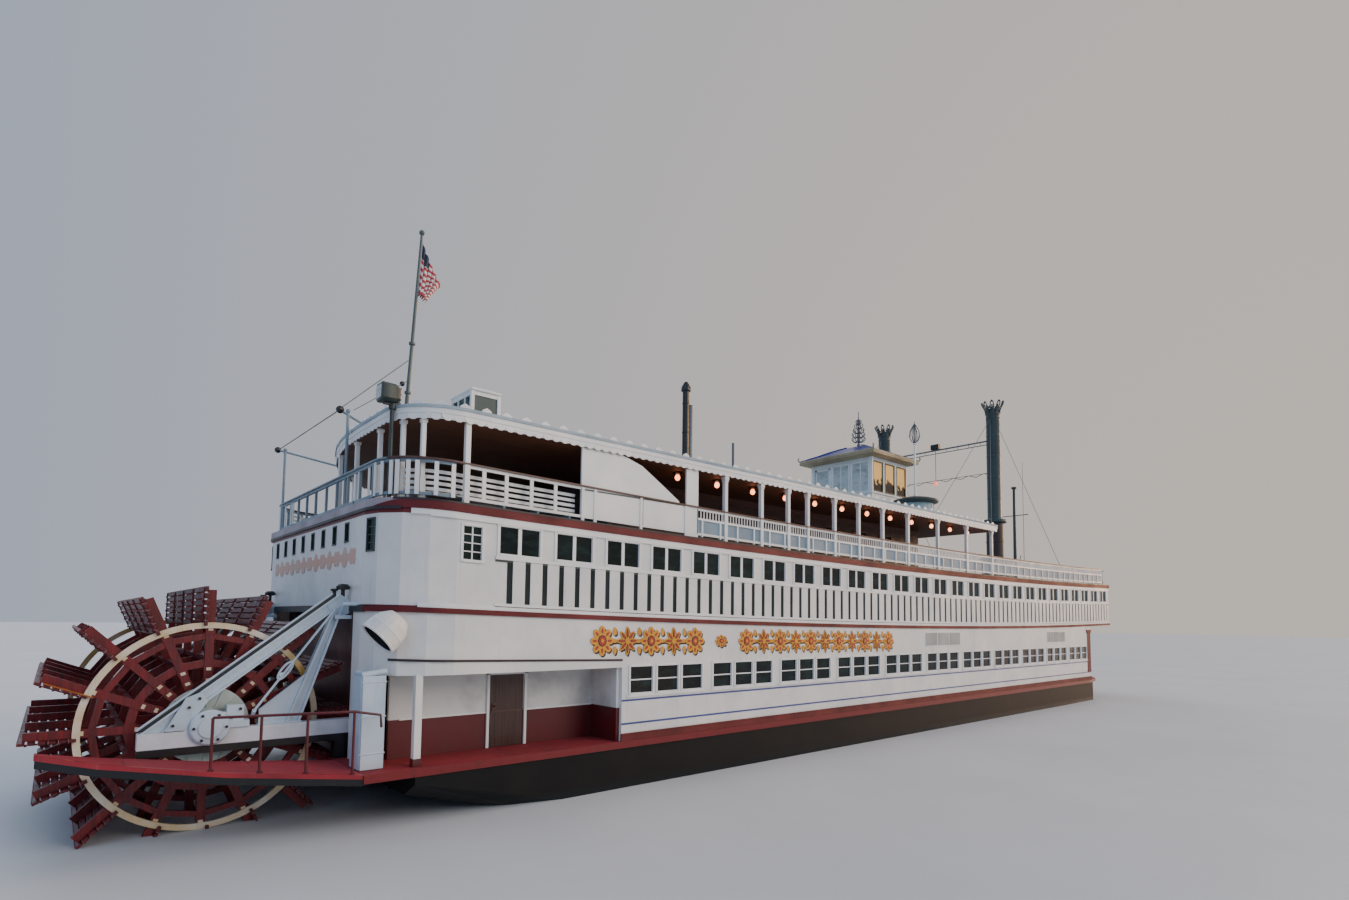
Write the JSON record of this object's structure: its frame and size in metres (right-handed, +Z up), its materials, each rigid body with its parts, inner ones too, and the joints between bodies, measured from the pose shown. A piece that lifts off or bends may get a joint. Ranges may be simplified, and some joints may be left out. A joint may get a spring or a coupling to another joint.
{
  "type": "stern-wheel paddle steamer, 1:2 scale model",
  "caption": "River passenger steamer on a flat-bottomed hull, with a red stern paddle wheel, enclosed decks, an open promenade under a roof, a pilothouse and tall crowned chimneys.",
  "frame": {"origin": "on the floor under the flat bottom, midway between the bow tip and the after side of the wheel, on the centreline", "axes": "+X forward to the bow along the length, +Y to port, +Z up"},
  "size_m": [30.575, 7.06, 10.725],
  "materials": {
    "hull_black": "satin paint, worn",
    "deck_red": "satin paint",
    "guard_red": "satin paint, weathered",
    "bulkhead_red": "satin paint",
    "white_paint": "satin paint",
    "door_brown": "varnished",
    "cabin_brown": "painted boards",
    "roof_blue": "matt paint",
    "black_iron": "painted",
    "machinery": "plain",
    "shaft_steel": "turned",
    "flag_cloth": "woven bunting",
    "wheel_red": "painted planks, wet and worn"
  },
  "bodies": {
    "boat": {"hull": "hull_black", "main_deck": "deck_red", "second_deck": "deck_red", "third_deck": "deck_red", "fantail_guard_starboard": "guard_red", "fantail_guard_port": "guard_red", "stern_bulkhead": "bulkhead_red", "house_side_starboard": "white_paint", "house_side_port": "white_paint", "house_front": "white_paint", "engine_room_wall_starboard": "white_paint", "engine_room_wall_port": "white_paint", "stern_screen_starboard": "white_paint", "stern_screen_port": "white_paint", "cabin_side_starboard": "white_paint", "cabin_side_port": "white_paint", "stern_wall": "white_paint", "cabin_front": "white_paint", "promenade_rail_starboard": "white_paint", "promenade_rail_port": "white_paint", "stern_rail": "white_paint", "bow_rail": "white_paint", "roof_cupola": "white_paint", "pilothouse_side_starboard": "white_paint", "pilothouse_side_port": "white_paint", "pilothouse_aft": "white_paint", "pilothouse_front": "white_paint", "roof_box": "white_paint", "flagpole": "white_paint", "bow_mast": "white_paint", "wheel_beam_starboard": "white_paint", "wheel_beam_port": "white_paint", "beam_brace_starboard": "white_paint", "beam_brace_port": "white_paint", "texas_side_starboard": "cabin_brown", "texas_side_port": "cabin_brown", "texas_aft": "cabin_brown", "texas_forward": "cabin_brown", "roof": "roof_blue", "pilothouse_roof": "roof_blue", "chimney_starboard": "black_iron", "chimney_port": "black_iron", "steam_pipe": "black_iron", "boiler": "machinery", "engine_starboard": "machinery", "engine_port": "machinery", "flag": "flag_cloth"},
    "paddle_wheel": {"wheel_shaft": "shaft_steel", "wheel_buckets": "wheel_red", "wheel_frame_1": "wheel_red", "wheel_frame_2": "wheel_red", "wheel_frame_3": "wheel_red", "wheel_frame_4": "wheel_red", "wheel_frame_5": "wheel_red"},
    "capstan": {"capstan": "black_iron"},
    "rudder_starboard": {"rudder_starboard": "black_iron"},
    "rudder_middle": {"rudder_middle": "black_iron"},
    "rudder_port": {"rudder_port": "black_iron"},
    "engine_room_door_starboard": {"engine_room_door_starboard": "door_brown"},
    "engine_room_door_port": {"engine_room_door_port": "door_brown"}
  },
  "joints": [
    {"name": "wheel_spin", "type": "hinge", "parent": "boat", "child": "paddle_wheel", "pos_m": [-13.5725, 0, 2], "axis": [0, 1, 0], "continuous": true},
    {"name": "capstan_turn", "type": "hinge", "parent": "boat", "child": "capstan", "pos_m": [13.4875, 0, 1.465], "axis": [0, 0, 1], "continuous": true},
    {"name": "rudder_middle_steer", "type": "hinge", "parent": "boat", "child": "rudder_middle", "pos_m": [-11.0625, 0, 0.5], "axis": [0, 0, 1], "range_deg": [-40, 40]},
    {"name": "rudder_starboard_steer", "type": "hinge", "parent": "boat", "child": "rudder_starboard", "pos_m": [-11.0625, -1.3, 0.5], "axis": [0, 0, 1], "range_deg": [-40, 40]},
    {"name": "rudder_port_steer", "type": "hinge", "parent": "boat", "child": "rudder_port", "pos_m": [-11.0625, 1.3, 0.5], "axis": [0, 0, 1], "range_deg": [-40, 40]},
    {"name": "engine_room_door_starboard_hinge", "type": "hinge", "parent": "boat", "child": "engine_room_door_starboard", "pos_m": [-9.6631, -2.75, 1.95], "axis": [0, 0, 1], "range_deg": [0, 100]},
    {"name": "engine_room_door_port_hinge", "type": "hinge", "parent": "boat", "child": "engine_room_door_port", "pos_m": [-9.6631, 2.75, 1.95], "axis": [0, 0, -1], "range_deg": [0, 100]}
  ],
  "couplings": [
    {"joint": "rudder_starboard_steer", "follows": "rudder_middle_steer", "ratio": 1},
    {"joint": "rudder_port_steer", "follows": "rudder_middle_steer", "ratio": 1}
  ]
}
